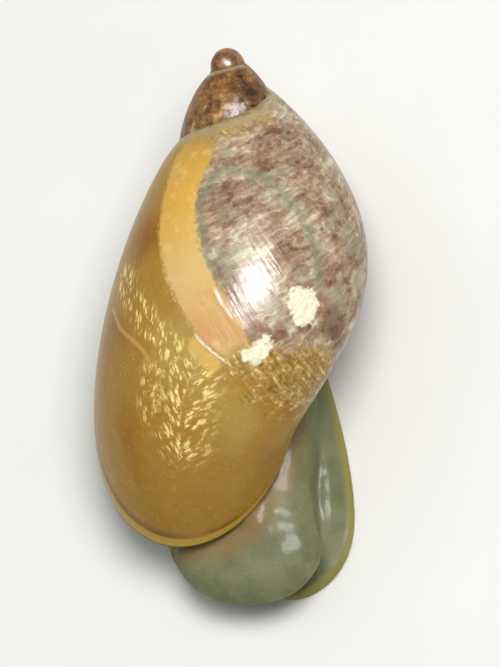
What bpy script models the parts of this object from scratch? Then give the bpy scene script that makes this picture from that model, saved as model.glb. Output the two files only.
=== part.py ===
"""A still, life-size amber snail: an ovate amber shell of three whorls, at rest on its broad pale foot.

Metres, +Z up. The foot lies on the floor, the head looks along -Y and the shell's tip points to the rear.
"""
import math

import bmesh
import bpy
from mathutils import Matrix, Vector

GAP = 0.0003

# The shell's growing edge, an egg-shaped ring in one plane. Each triple holds its value
# at the lip, half a turn before the lip, and a whole turn or more before it.
RING_HALF_WIDTHS = (0.00364, 0.00401, 0.00425)
RING_HALF_LENGTHS = (0.00704, 0.00679, 0.00721)
RING_EGGS = (0.171, 0.182, 0.153)
RING_REACHES = (0.00239, 0.00220, 0.00262)
RING_DROP = 0.00999
RING_LEAN = math.radians(14.1)
RING_INNER_REACHES = (-0.00063, 0.00002, 0.00005)

# How much the ring grows in each whole turn, counted back from the lip
LAST_TURN_GROWTH = 3.33
MIDDLE_TURN_GROWTH = 2.62
FIRST_TURN_GROWTH = 3.2

SHELL_WALL = 0.00055
KNOB_RADIUS = 0.00062
KNOB_DEPTH = 0.00076
KNOB_STRETCH = 1.1
SPIRE_END = -1.0
SPIRE_START = -2.15
POCKET_TURNS = -0.15
PLUG_TURNS = -0.10
RING_SIDES = 36
RINGS_PER_TURN = 40

# How the shell is carried: the plane of its lip is level, at this height over the floor
LIP_HEIGHT = 0.0028
AXIS_SLOPE = math.radians(19.0)
AXIS_YAW = math.radians(8.0)

# The foot, seen from above
FOOT_FRONT = -0.0085
FOOT_REAR = 0.0056
FOOT_HALF_WIDTH = 0.0034
FOOT_WIDEST = 0.24
FOOT_MARGIN = 0.00042
FOOT_CROWN = 0.00042
CROWN_RAMP = 0.0035
TAIL_CUT = 0.0014
FRONT_NOTCH = 0.00016

# The head, neck and torso over it
BODY_FRONT = -0.0089
HOOD_DEPTH = 0.00145
FACE_FRONT = BODY_FRONT + HOOD_DEPTH
BODY_REAR = 0.0036
HEAD_HALF_WIDTH = 0.00285
NECK_HALF_WIDTH = 0.00225
TORSO_HALF_WIDTH = 0.0025
HEAD_CUT = -0.0058
NECK_CUT = -0.004
BODY_TOP = LIP_HEIGHT - GAP

# Middle line of the soft body: it bends to the animal's left towards the head
MIDLINE_AT_HEAD = 0.0016
MIDLINE_AT_TAIL = 0.0004
STATIONS = 26

UPPER_FEELER = dict(side=0.0014, height=0.00118, radius=0.00027, reach=0.00058, rise=-2.0)
LOWER_FEELER = dict(side=0.00082, height=0.00102, radius=0.00025, reach=0.0005, rise=-4.0)
MOUTH_HEIGHT = 0.00106
LIP_LOBE = (0.00025, 0.00028, 0.00027)
MOUTH_SLIT = 0.00014


def clear_scene():
    for obj in list(bpy.data.objects):
        bpy.data.objects.remove(obj, do_unlink=True)


def material(name, colour, roughness):
    made = bpy.data.materials.new(name)
    made.use_nodes = True
    shader = made.node_tree.nodes["Principled BSDF"]
    shader.inputs["Base Color"].default_value = (*colour, 1.0)
    shader.inputs["Roughness"].default_value = roughness
    shader.inputs["Metallic"].default_value = 0.0
    return made


def add_object(name, bm):
    """Makes an object of a finished bmesh, in the scene's own frame."""
    bmesh.ops.recalc_face_normals(bm, faces=bm.faces)
    mesh = bpy.data.meshes.new(name)
    bm.to_mesh(mesh)
    bm.free()
    obj = bpy.data.objects.new(name, mesh)
    bpy.context.scene.collection.objects.link(obj)
    return obj


def loft(name, rings, strip_caps=False):
    """Closes a run of rings of equal length into one solid.

    Strip caps join the two sides of a ring straight across; otherwise an end is one flat face.
    """
    bm = bmesh.new()
    rows = [[bm.verts.new(point) for point in ring] for ring in rings]
    count = len(rows[0])
    for row, following in zip(rows, rows[1:]):
        for i in range(count):
            j = (i + 1) % count
            bm.faces.new((row[i], row[j], following[j], following[i]))
    for row in (rows[0], rows[-1]):
        if strip_caps:
            for i in range(count // 2):
                corners = (row[i], row[i + 1], row[-i - 1], row[-i])
                bm.faces.new(list(dict.fromkeys(corners)))
        else:
            bm.faces.new(row)
    return add_object(name, bm)


def evaluated_mesh(obj):
    graph = bpy.context.evaluated_depsgraph_get()
    return bpy.data.meshes.new_from_object(obj.evaluated_get(graph))


def combine(obj, others, operation):
    """Joins the other closed solids to obj, or cuts them from it, and removes them."""
    group = bpy.data.collections.new(obj.name + "_others")
    bpy.context.scene.collection.children.link(group)
    for other in others:
        group.objects.link(other)
    boolean = obj.modifiers.new("Combine", "BOOLEAN")
    boolean.operation = operation
    boolean.operand_type = "COLLECTION"
    boolean.collection = group
    boolean.solver = "MANIFOLD"
    result = evaluated_mesh(obj)
    obj.modifiers.clear()
    obj.data = result
    for other in others:
        bpy.data.objects.remove(other, do_unlink=True)
    bpy.data.collections.remove(group)
    keep_largest(obj)
    return obj


def closed_surfaces(bm):
    """The separate closed surfaces of a bmesh, as lists of faces."""
    left = set(bm.faces)
    surfaces = []
    while left:
        seed = left.pop()
        surface = [seed]
        for face in surface:
            for edge in face.edges:
                for neighbour in edge.link_faces:
                    if neighbour in left:
                        left.remove(neighbour)
                        surface.append(neighbour)
        surfaces.append(surface)
    return surfaces


def spread(faces):
    """Length of the diagonal of the box round some faces."""
    points = [vert.co for face in faces for vert in face.verts]
    low = Vector(map(min, zip(*points)))
    high = Vector(map(max, zip(*points)))
    return (high - low).length


def keep_largest(obj):
    bm = bmesh.new()
    bm.from_mesh(obj.data)
    surfaces = sorted(closed_surfaces(bm), key=spread)
    for surface in surfaces[:-1]:
        bmesh.ops.delete(bm, geom=surface, context="FACES")
    bmesh.ops.triangulate(bm, faces=bm.faces)
    bm.to_mesh(obj.data)
    bm.free()


def keep_side(obj, plane_y, keep_front):
    """Cuts obj square across the body at plane_y and keeps the part before or behind it."""
    bm = bmesh.new()
    bm.from_mesh(obj.data)
    normal = Vector((0.0, 1.0, 0.0)) if keep_front else Vector((0.0, -1.0, 0.0))
    cut = bmesh.ops.bisect_plane(
        bm,
        geom=bm.verts[:] + bm.edges[:] + bm.faces[:],
        plane_co=(0.0, plane_y, 0.0),
        plane_no=normal,
        clear_outer=True,
    )
    edges = [item for item in cut["geom_cut"] if isinstance(item, bmesh.types.BMEdge)]
    bmesh.ops.edgeloop_fill(bm, edges=edges)
    bmesh.ops.recalc_face_normals(bm, faces=bm.faces)
    bm.to_mesh(obj.data)
    bm.free()
    return obj


def finish(obj, look, angle=40.0):
    obj.data.materials.clear()
    obj.data.materials.append(look)
    obj.data.shade_smooth()
    obj.data.set_sharp_from_angle(angle=math.radians(angle))
    return obj


def blend(share):
    """Smooth step from 0 to 1."""
    share = min(max(share, 0.0), 1.0)
    return share * share * (3.0 - 2.0 * share)


def by_age(turns, values):
    """A ring size at a negative number of turns, from its three named values."""
    lip, half, older = values
    age = -turns * 2.0
    if age < 1.0:
        return lip + (half - lip) * max(age, 0.0)
    return half + (older - half) * min(age - 1.0, 1.0)


def growth(turns):
    """Size of the ring against the lip's, a negative number of turns before the lip."""
    last = max(turns, -1.0)
    middle = min(max(turns + 1.0, -1.0), 0.0)
    first = min(turns + 2.0, 0.0)
    return LAST_TURN_GROWTH**last * MIDDLE_TURN_GROWTH**middle * FIRST_TURN_GROWTH**first


def ring_in_plane(turns):
    """The ring's outline at lip size: pairs of reach from the coil axis and place along the ring."""
    half_width = by_age(turns, RING_HALF_WIDTHS)
    half_length = by_age(turns, RING_HALF_LENGTHS)
    egg = by_age(turns, RING_EGGS)
    middle = by_age(turns, RING_REACHES)
    inner = by_age(turns, RING_INNER_REACHES)
    outline = []
    for i in range(RING_SIDES):
        angle = 2.0 * math.pi * i / RING_SIDES
        across = half_width * math.cos(angle) * (1.0 - egg * math.sin(angle))
        along = half_length * math.sin(angle)
        reach = across * math.cos(RING_LEAN) - along * math.sin(RING_LEAN)
        place = across * math.sin(RING_LEAN) + along * math.cos(RING_LEAN)
        outline.append((max(middle + reach, inner), place))
    return outline


def inset_outline(outline, inset):
    """Moves each point of a counter-clockwise outline inwards, but none nearer the coil axis than before."""
    moved = []
    nearest = min(reach for reach, place in outline)
    for i, (reach, place) in enumerate(outline):
        before = outline[i - 1]
        after = outline[(i + 1) % len(outline)]
        run = after[0] - before[0]
        rise = after[1] - before[1]
        length = math.hypot(run, rise)
        moved.append((max(reach - inset * rise / length, nearest), place + inset * run / length))
    return moved


def shell_frame():
    """Carries the shell's own frame, with the coil axis along Z and the tip at the origin."""
    middle = Matrix.Translation((RING_REACHES[0], 0.0, RING_DROP))
    tilt = Matrix.Rotation(AXIS_SLOPE - math.radians(90.0), 4, "X")
    yaw = Matrix.Rotation(AXIS_YAW, 4, "Z")
    return Matrix.Translation((0.0, 0.0, LIP_HEIGHT)) @ yaw @ tilt @ middle


def shell_ring(turns, inset=0.0, swell=1.0):
    """The ring's points at a number of turns from the lip; swell scales it about its middle."""
    size = growth(turns)
    outline = ring_in_plane(turns)
    if inset:
        outline = inset_outline(outline, inset / size)
    angle = math.pi - 2.0 * math.pi * turns
    outwards = Vector((math.cos(angle), math.sin(angle), 0.0))
    onwards = Vector((math.sin(angle), -math.cos(angle), 0.0))
    middle = outwards * by_age(turns, RING_REACHES) - Vector((0.0, 0.0, RING_DROP))
    frame = shell_frame()
    points = []
    for reach, place in outline:
        point = outwards * reach + onwards * place * math.sin(AXIS_SLOPE)
        point.z = place * math.cos(AXIS_SLOPE) - RING_DROP
        points.append(frame @ ((middle + (point - middle) * swell) * size))
    return points


def shell_length(name, start, end, inset=0.0, rooted=False):
    """One length of the coiled tube. A rooted one begins inside the length before it."""
    steps = max(2, round((end - start) * RINGS_PER_TURN))
    rings = [shell_ring(start + (end - start) * i / steps, inset) for i in range(steps + 1)]
    if rooted:
        half_step = 0.5 / RINGS_PER_TURN
        rings[0] = shell_ring(start + half_step, inset)
        rings.insert(0, shell_ring(start - half_step, inset, 0.996))
        rings.insert(0, shell_ring(start - 3.0 * half_step, inset, 0.9))
    return loft(name, rings)


def coil(name, start, end, lengths, inset=0.0):
    """The coiled tube from start to end, as lengths rooted in one another and joined into one solid."""
    pieces = []
    for i in range(lengths):
        first = start + (end - start) * i / lengths
        last = start + (end - start) * (i + 1) / lengths
        pieces.append(shell_length(name, first, last, inset, i > 0))
    return combine(pieces[0], pieces[1:], "UNION")


def ball(name, centre, radii):
    bm = bmesh.new()
    bmesh.ops.create_uvsphere(bm, u_segments=20, v_segments=12, radius=1.0)
    bm.transform(Matrix.Translation(centre) @ Matrix.Diagonal((*radii, 1.0)))
    return add_object(name, bm)


def build_body_whorl(look):
    """The last whorl, with a hollow behind its lip for the mantle."""
    whorl = coil("shell_body_whorl", SPIRE_END, 0.0, 3)
    past_lip = 0.03
    hollow = shell_length("hollow", POCKET_TURNS, past_lip, SHELL_WALL)
    return finish(combine(whorl, [hollow], "DIFFERENCE"), look)


def build_spire(look):
    """The first two whorls with the tip's knob, cut clear of the last whorl along the suture."""
    cut_overlap = 0.05
    spire = coil("shell_spire", SPIRE_START, SPIRE_END - cut_overlap, 3)
    knob_radii = (KNOB_RADIUS, KNOB_RADIUS, KNOB_RADIUS * KNOB_STRETCH)
    knob = ball("knob", (0.0, 0.0, -KNOB_DEPTH), knob_radii)
    knob.data.transform(shell_frame())
    combine(spire, [knob], "UNION")
    last_whorl = coil("last_whorl", SPIRE_END, 0.0, 3, -GAP)
    return finish(combine(spire, [last_whorl], "DIFFERENCE"), look)


def build_mantle_collar(look):
    """The mantle's thick edge, which fills the shell's mouth, with the breathing pore on its right."""
    inset = SHELL_WALL + GAP
    rounding = 0.00015
    steps = 6
    rings = []
    for i in range(steps):
        rings.append(shell_ring(PLUG_TURNS * (1.0 - i / steps) - 0.006, inset))
    rings.append(shell_ring(0.0, inset + rounding))
    collar = loft("mantle_collar", rings)
    pore_place = (-0.00245, 0.0016, LIP_HEIGHT)
    pore = ball("pore", pore_place, (0.00032, 0.00042, 0.0004))
    return finish(combine(collar, [pore], "DIFFERENCE"), look)


def midline(y):
    """Sideways place of the soft body's middle at a place along it."""
    share = blend((y - FOOT_FRONT) / (FOOT_REAR - FOOT_FRONT))
    return MIDLINE_AT_HEAD + (MIDLINE_AT_TAIL - MIDLINE_AT_HEAD) * share


def side_share(share, widest, front_power, rear_power):
    """Half width of a body outline against its widest, at a share of its length."""
    if share < widest:
        away = 1.0 - share / widest
        return (1.0 - away**front_power) ** (1.0 / front_power)
    away = (share - widest) / (1.0 - widest)
    return (1.0 - away**rear_power) ** 0.8


def plan_ring(front, rear, half_width, height):
    """A ring seen from above: the left side from front to rear, then the right side back.

    half_width and height are functions of the share of the length and of y.
    """
    points = []
    for i in range(2 * STATIONS):
        turn = math.pi * i / STATIONS
        share = (1.0 - math.cos(turn)) / 2.0
        side = 0.0 if i % STATIONS == 0 else math.copysign(1.0, math.sin(turn))
        y = front + share * (rear - front)
        x = midline(y) + side * half_width(share, y)
        points.append(Vector((x, y, height(share, y))))
    return points


def foot_half_width(share, y):
    return FOOT_HALF_WIDTH * side_share(share, FOOT_WIDEST, 2.4, 1.7)


def foot_crown(y):
    """Rise of the foot's back over its margin: low under the head, then a ridge to the tail."""
    return FOOT_CROWN * blend((y - FOOT_FRONT) / CROWN_RAMP)


def foot_rings():
    """Levels from the sole up: share of the width, step in from the ends, height, share of the crown."""
    levels = [
        (0.975, 0.00008, 0.0, 0.0),
        (0.995, 0.00002, 0.0001, 0.0),
        (1.0, 0.0, 0.0002, 0.0),
        (0.985, 0.00005, 0.00033, 0.0),
        (0.93, 0.00022, FOOT_MARGIN, 0.0),
        (0.86, 0.00045, FOOT_MARGIN, 0.45),
        (0.78, 0.0008, FOOT_MARGIN, 0.85),
        (0.6, 0.0014, FOOT_MARGIN, 0.97),
        (0.25, 0.0025, FOOT_MARGIN, 1.0),
    ]
    rings = []
    for width_share, step_in, base, crown_share in levels:
        ring = plan_ring(
            FOOT_FRONT + step_in,
            FOOT_REAR - step_in,
            lambda share, y: foot_half_width(share, y) * width_share,
            lambda share, y: base + foot_crown(y) * crown_share,
        )
        rings.append([notched(point) for point in ring])
    return rings


def notched(point):
    """Draws the middle of the foot's front edge in a little."""
    place = 0.0022
    spread_x = 0.0007
    fade = blend((FOOT_FRONT + 0.0012 - point.y) / 0.0012)
    depth = FRONT_NOTCH * math.exp(-(((point.x - place) / spread_x) ** 2))
    return Vector((point.x, point.y + depth * fade, point.z))


def build_foot(look):
    foot = loft("foot", foot_rings(), strip_caps=True)
    return finish(keep_side(foot, TAIL_CUT, True), look)


def build_tail(look):
    tail = loft("tail", foot_rings(), strip_caps=True)
    return finish(keep_side(tail, TAIL_CUT + GAP, False), look)


def body_half_width(share, y):
    """Half width of the head, the neck and the torso, run smoothly into one another."""
    front_end = side_share(share, 0.22, 2.3, 2.0) if share < 0.22 else 1.0
    rear_end = side_share(share, 0.6, 2.0, 2.4) if share > 0.6 else 1.0
    neck_middle = (HEAD_CUT + NECK_CUT) / 2.0
    to_neck = blend((y - (BODY_FRONT + 0.0012)) / (neck_middle - BODY_FRONT - 0.0012))
    to_torso = blend((y - neck_middle) / 0.0026)
    width = HEAD_HALF_WIDTH + (NECK_HALF_WIDTH - HEAD_HALF_WIDTH) * to_neck
    width += (TORSO_HALF_WIDTH - NECK_HALF_WIDTH) * to_torso
    return width * front_end * rear_end


def body_bottom(y):
    """Underside of the head, neck and torso: a gap over the foot's back."""
    return FOOT_MARGIN + foot_crown(y) + GAP


def body_rings(swell=0.0):
    """Levels from the underside up: share of the width, step in from the ends, of the height, of the hood.

    The neck's skin hangs over the drawn-in face as a hood, so the lower levels begin further back.
    """
    levels = [
        (0.965, 0.00007, 0.0, 0.92),
        (0.99, 0.00001, 0.12, 1.0),
        (1.0, 0.0, 0.28, 1.0),
        (1.0, 0.00001, 0.42, 0.92),
        (0.998, 0.00002, 0.5, 0.7),
        (0.99, 0.00004, 0.55, 0.35),
        (0.98, 0.00008, 0.6, 0.04),
        (0.955, 0.00015, 0.66, 0.0),
        (0.9, 0.00032, 0.76, 0.0),
        (0.8, 0.0006, 0.86, 0.0),
        (0.62, 0.001, 0.945, 0.0),
        (0.32, 0.0017, 1.0, 0.0),
    ]
    rings = []
    for width_share, step_in, height_share, hood_share in levels:
        lift = swell * (2.0 * height_share - 1.0)
        rings.append(
            plan_ring(
                BODY_FRONT + step_in + HOOD_DEPTH * hood_share - swell,
                BODY_REAR - step_in + swell,
                lambda share, y: body_half_width(share, y) * width_share + swell * math.sqrt(share * (1 - share)),
                lambda share, y: body_bottom(y) + (BODY_TOP - body_bottom(y)) * height_share + lift,
            )
        )
    return rings


def build_head(look):
    """The head: a rounded hood, and under it the drawn-in face with lips and the line of the mouth."""
    head = keep_side(loft("head", body_rings(), strip_caps=True), HEAD_CUT, True)
    middle = midline(FACE_FRONT)
    front = FACE_FRONT + 0.00012
    lobes = []
    for side in (-1.0, 1.0):
        place = (middle + side * LIP_LOBE[0] * 0.86, front, MOUTH_HEIGHT)
        lobes.append(ball("lip_lobe", place, LIP_LOBE))
    upper_place = (middle, front + 0.00003, MOUTH_HEIGHT + LIP_LOBE[2] * 0.95)
    lobes.append(ball("upper_lip", upper_place, (0.00056, 0.00026, 0.0002)))
    combine(head, lobes, "UNION")
    slit_place = (middle, front - LIP_LOBE[1], MOUTH_HEIGHT - 0.00004)
    slit = ball("slit", slit_place, (MOUTH_SLIT / 2.0, LIP_LOBE[1] * 1.15, LIP_LOBE[2] * 0.8))
    return finish(combine(head, [slit], "DIFFERENCE"), look)


def build_neck(look):
    neck = keep_side(loft("neck", body_rings(), strip_caps=True), NECK_CUT, True)
    return finish(keep_side(neck, HEAD_CUT + GAP, False), look)


def build_torso(look):
    """The torso goes up into the shell's mouth, clear of the last whorl's underside."""
    torso = loft("torso", body_rings(), strip_caps=True)
    keep_side(torso, NECK_CUT + GAP, False)
    last_whorl = coil("last_whorl", SPIRE_END, 0.0, 3, -GAP)
    return finish(combine(torso, [last_whorl], "DIFFERENCE"), look)


def build_feeler(name, size, side, look):
    """A drawn-in feeler: a short rounded peg, cut off a gap before the head's surface.

    Its profile pairs a share of its length with a share of its radius: a waist, then the tip's bulb.
    """
    sides = 16
    root_depth = 0.0009
    turned_out = 0.06 * side
    root = Vector((midline(FACE_FRONT) + side * size["side"], FACE_FRONT + root_depth, size["height"]))
    rise = math.radians(size["rise"])
    along = Vector((turned_out, -math.cos(rise), math.sin(rise))).normalized()
    across = along.cross(Vector((0.0, 0.0, 1.0))).normalized()
    up = across.cross(along)
    length = root_depth + size["reach"]
    profile = [(0.0, 1.0), (0.45, 0.97), (0.7, 0.9), (0.82, 0.93), (0.9, 0.86), (0.96, 0.62), (0.99, 0.3)]
    rings = []
    for share, width in profile:
        centre = root + along * length * share
        ring = []
        for i in range(sides):
            angle = 2.0 * math.pi * i / sides
            outwards = across * math.cos(angle) + up * math.sin(angle)
            ring.append(centre + outwards * size["radius"] * width)
        rings.append(ring)
    feeler = loft(name, rings)
    swollen_head = loft("swollen_head", body_rings(GAP), strip_caps=True)
    return finish(combine(feeler, [swollen_head], "DIFFERENCE"), look)


def stand_on_origin(objects):
    """Moves everything, so that the middle of its lowest plane is the origin."""
    points = [vert.co for obj in objects for vert in obj.data.vertices]
    low = Vector(map(min, zip(*points)))
    high = Vector(map(max, zip(*points)))
    shift = Vector((-(low.x + high.x) / 2.0, -(low.y + high.y) / 2.0, -low.z))
    for obj in objects:
        obj.data.transform(Matrix.Translation(shift))
    return shift


def build_snail():
    shell_look = material("amber_shell", (0.45, 0.27, 0.07), 0.25)
    spire_look = material("brown_shell", (0.30, 0.15, 0.06), 0.25)
    mantle_look = material("mantle", (0.62, 0.38, 0.16), 0.4)
    flesh_look = material("flesh", (0.55, 0.53, 0.43), 0.35)
    feeler_look = material("feeler", (0.45, 0.42, 0.34), 0.35)
    parts = [
        build_body_whorl(shell_look),
        build_spire(spire_look),
        build_mantle_collar(mantle_look),
        build_foot(flesh_look),
        build_tail(flesh_look),
        build_head(flesh_look),
        build_neck(flesh_look),
        build_torso(flesh_look),
    ]
    for side, word in ((1.0, "left"), (-1.0, "right")):
        parts.append(build_feeler("upper_feeler_" + word, UPPER_FEELER, side, feeler_look))
        parts.append(build_feeler("lower_feeler_" + word, LOWER_FEELER, side, feeler_look))
    stand_on_origin(parts)


clear_scene()
build_snail()
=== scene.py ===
"""The looks of the amber snail: a glossy, translucent, mottled shell on a pale, moist body.

Metres, +Z up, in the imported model's own frame. The shell and the body repeat the named sizes of the
solids and are made much finer. Markings are placed by pixels of the photograph (500 x 667), which are
carried along the camera's rays to the shell, and are kept as distances on the mesh for the materials.
"""

import math
from collections import namedtuple

import bpy
import numpy as np
from mathutils import Matrix, Vector, noise
from mathutils.bvhtree import BVHTree
from mathutils.kdtree import KDTree


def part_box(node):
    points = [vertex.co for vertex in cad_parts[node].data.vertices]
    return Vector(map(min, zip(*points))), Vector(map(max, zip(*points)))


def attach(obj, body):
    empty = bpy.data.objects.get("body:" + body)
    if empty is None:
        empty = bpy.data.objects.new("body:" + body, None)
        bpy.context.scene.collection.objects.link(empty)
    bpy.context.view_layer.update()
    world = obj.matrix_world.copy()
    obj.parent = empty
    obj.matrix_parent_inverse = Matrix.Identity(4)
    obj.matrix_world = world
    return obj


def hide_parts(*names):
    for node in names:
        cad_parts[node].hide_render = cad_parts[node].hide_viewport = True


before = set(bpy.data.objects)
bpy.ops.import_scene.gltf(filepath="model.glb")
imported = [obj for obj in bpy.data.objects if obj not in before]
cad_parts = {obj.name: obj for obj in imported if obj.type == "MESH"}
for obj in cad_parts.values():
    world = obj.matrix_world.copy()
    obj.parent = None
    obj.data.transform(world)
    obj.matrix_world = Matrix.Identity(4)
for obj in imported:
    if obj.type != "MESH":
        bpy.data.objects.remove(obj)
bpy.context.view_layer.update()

MM = 0.001

# The shell's growing edge. Each triple holds its value at the lip, half a turn
# before the lip, and a whole turn or more before it.
RING_HALF_WIDTHS = (0.00364, 0.00401, 0.00425)
RING_HALF_LENGTHS = (0.00704, 0.00679, 0.00721)
RING_EGGS = (0.171, 0.182, 0.153)
RING_REACHES = (0.00239, 0.00220, 0.00262)
RING_INNER_REACHES = (-0.00063, 0.00002, 0.00005)
RING_DROP = 0.00999
RING_LEAN = math.radians(14.1)
LAST_TURN_GROWTH = 3.33
MIDDLE_TURN_GROWTH = 2.62
FIRST_TURN_GROWTH = 3.2
KNOB_RADIUS = 0.00059
KNOB_DEPTH = 0.00067
KNOB_STRETCH = 1.1
LIP_HEIGHT = 0.0028
AXIS_SLOPE = math.radians(19.0)
AXIS_YAW = math.radians(8.0)

# How finely the shell is made, and its thin wall at the lip
SHELL_START = -2.25
KNOB_TURNS = -2.4
RING_SIDES = 224
RINGS_IN_LAST_TURN = 300
RINGS_PER_EARLY_TURN = 100
WALL = 0.00015
RIM_DEPTH = 0.0006
COLLAR_DEPTH = 0.0003
BURIED_DEPTH = 0.00012
WHOLE_TURNS = -0.1

# Spans of turns whose distance to the whorls before some number of turns is kept: start, end, before
SUTURE_SPANS = ((-0.55, -0.03, -0.98), (-1.1, -0.55, -1.48), (-1.6, -1.1, -1.98), (-2.1, -1.6, -2.3))

# The soft body, as in the solids
FOOT_FRONT = -0.0085
FOOT_REAR = 0.0056
FOOT_HALF_WIDTH = 0.0034
FOOT_WIDEST = 0.24
FOOT_MARGIN = 0.00042
FOOT_CROWN = 0.00042
FRONT_NOTCH = 0.00016
CROWN_RAMP = 0.0035
BODY_FRONT = -0.0089
HOOD_DEPTH = 0.00145
FACE_FRONT = BODY_FRONT + HOOD_DEPTH
BODY_REAR = 0.0036
HEAD_HALF_WIDTH = 0.00285
NECK_HALF_WIDTH = 0.00225
TORSO_HALF_WIDTH = 0.0025
HEAD_CUT = -0.0058
NECK_CUT = -0.004
BODY_TOP = 0.0025
MIDLINE_AT_HEAD = 0.0016
MIDLINE_AT_TAIL = 0.0004
UPPER_FEELER = dict(side=0.0014, height=0.00118, radius=0.00027, reach=0.00058, rise=-2.0)
LOWER_FEELER = dict(side=0.00082, height=0.00102, radius=0.00025, reach=0.0005, rise=-4.0)
MOUTH_HEIGHT = 0.00106
LIP_LOBE = (0.00025, 0.00028, 0.00027)
MOUTH_SLIT = 0.00014
PORE_PLACE = (-0.00245, 0.0016, LIP_HEIGHT)
PORE_RADII = (0.00032, 0.00042, 0.0004)

# How finely the skin is made
STATIONS = 110
LEVELS = 34
SKIN_VOXEL = 0.000068
SUNK = 0.0002
TORSO_RISE = 0.001

# The photograph: its frame in pixels, its scale, and the camera's angles about the snail
PHOTO_WIDTH = 500
PHOTO_HEIGHT = 667
PIXELS_PER_MM = 29.4
CAMERA_AZIMUTH = math.radians(50.91)
CAMERA_ELEVATION = math.radians(69.16)
CAMERA_ROLL = math.radians(-49.66)
CAMERA_DISTANCE = 0.4
CAMERA_SENSOR = 36.0
AIM_RIGHT = 0.00075
AIM_UP = 0.001086
AIM_DEPTH = 0.0045

# Markings of the shell, by pixels of the photograph. The band: pixel, half width in millimetres
BAND_LINE = (
    ((206, 128), 0.6), ((199, 143), 0.78), ((191, 158), 0.88), ((181, 185), 0.8), ((176, 212), 0.8),
    ((177, 240), 0.8), ((183, 264), 0.8), ((194, 288), 0.8), ((208, 311), 0.8), ((225, 334), 0.72),
    ((244, 355), 0.46),
)

# Round patches: pixel, radius in millimetres
PATCHES = dict(
    blotch=(
        ((303, 302), 0.52), ((305, 314), 0.46), ((251, 356), 0.28), ((260, 351), 0.32),
        ((268, 342), 0.22),
    ),
    rust=(
        ((255, 328), 0.26), ((275, 333), 0.3), ((332, 312), 0.36), ((285, 338), 0.2),
        ((219, 209), 0.36), ((262, 160), 0.26),
    ),
)

# Soft tones of the patterns: pixel, reach in millimetres, strength
TONES = dict(
    mottle_tone_and_painted_highlight=(
        ((262, 200), 0.9, -0.02), ((262, 255), 1.2, 0.04), ((235, 150), 0.8, 0.0),
        ((285, 140), 1.1, -0.06), ((345, 240), 1.0, -0.05), ((335, 330), 0.8, -0.1),
        ((270, 330), 0.7, 0.03), ((250, 92), 0.34, -0.3), ((285, 112), 0.5, 0.12),
        # The last tone is a painted highlight on the second whorl.
        ((227, 104), 0.24, 0.25),
    ),
    golden=(
        ((290, 392), 1.3, 1.1), ((318, 372), 1.0, 0.9), ((245, 376), 1.0, 1.2),
        ((266, 394), 1.0, 1.0), ((228, 128), 0.6, 0.7), ((262, 118), 0.6, 0.6),
    ),
    amber_tone=(
        ((130, 440), 1.5, 0.4), ((112, 330), 1.1, 0.4), ((160, 520), 1.0, 0.35),
        ((235, 440), 1.6, -0.55), ((175, 345), 1.2, -0.75), ((145, 235), 1.1, 0.8),
        ((295, 395), 0.9, 1.0), ((265, 455), 1.0, 0.4), ((205, 380), 0.9, -0.4),
    ),
    # Silvery patches: the first two are painted highlights on the second whorl and the knob, the next two
    # brighten the shell around the main highlight, and the rest are the pale edge beside the suture.
    silver_and_painted_highlight=(
        ((235, 108), 0.44, 1.3), ((226, 61), 0.17, 1.3), ((245, 262), 0.9, 0.25),
        ((272, 280), 0.6, 0.3), ((284, 112), 0.42, 0.45), ((296, 126), 0.36, 0.5),
        ((305, 141), 0.3, 0.6),
    ),
)

# Lines by their pixels; the pale patch is a short, broad one
LINES = dict(
    green=(
        ((240, 171), (225, 169), (214, 176), (204, 196), (200, 221), (205, 250), (214, 275), (226, 300)),
        ((225, 169), (243, 171), (262, 177), (281, 193), (300, 214), (311, 237), (317, 259), (319, 290)),
    ),
    vessel=(
        ((113, 308), (120, 328), (134, 341), (143, 350), (150, 362)),
    ),
    pale_patch=(
        ((196, 346), (203, 357), (212, 364)),
    ),
    # The glint lines are painted highlights along the growth ridges.
    glint=(
        ((193, 331), (201, 342), (214, 353), (230, 365), (246, 376)),
        ((213, 286), (221, 302), (231, 316), (242, 329)),
    ),
)

# Golden flecks: a stem of pixels from its foot up, the slopes of the strokes to its left and to its right
# in degrees from the stem, reach in millimetres, and strength
FLECK_STEMS = (
    (((182, 438), (182, 425), (186, 398), (192, 380)), (-34.0, 46.0), 1.0, 1.0),
    (((148, 412), (148, 395), (152, 372)), (-16.0, 18.0), 0.45, 0.75),
    (((172, 350), (150, 325), (132, 298), (124, 278)), (50.0, 50.0), 0.52, 0.9),
)

# Where the mottled part of the shell ends: ring angle in degrees, turns before the lip
MOTTLE_EDGE = (
    (-180, 0.27), (-100, 0.235), (-75, 0.222), (-50, 0.212), (-17, 0.214), (6, 0.204), (23, 0.2),
    (30, 0.21), (40, 0.25), (60, 0.28), (90, 0.3), (180, 0.27),
)

# Raised growth ridges: their ring angles and turns before the lip, height in millimetres, end angles;
# their half width is in turns
RIDGES = (
    (((-60, 0.252), (-30, 0.24), (-17, 0.232), (-8, 0.223), (20, 0.215)), 0.014, (-44.0, -2.0)),
    (((-60, 0.23), (-42, 0.216), (-28, 0.2), (-20, 0.188), (0, 0.17)), 0.024, (-50.0, -16.0)),
)
RIDGE_HALF_WIDTH = 0.0035

# Growth lines: height in millimetres, lines in a turn, seed
GROWTH_LINES = ((0.0030, 95.0, 2), (0.0065, 30.0, 3), (0.010, 11.0, 4))

# The skin's gentle folds: height in millimetres, waves per millimetre
SKIN_FOLDS = ((0.016, 1.1), (0.007, 3.2))
EYE_RADIUS = 0.00011

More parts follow.
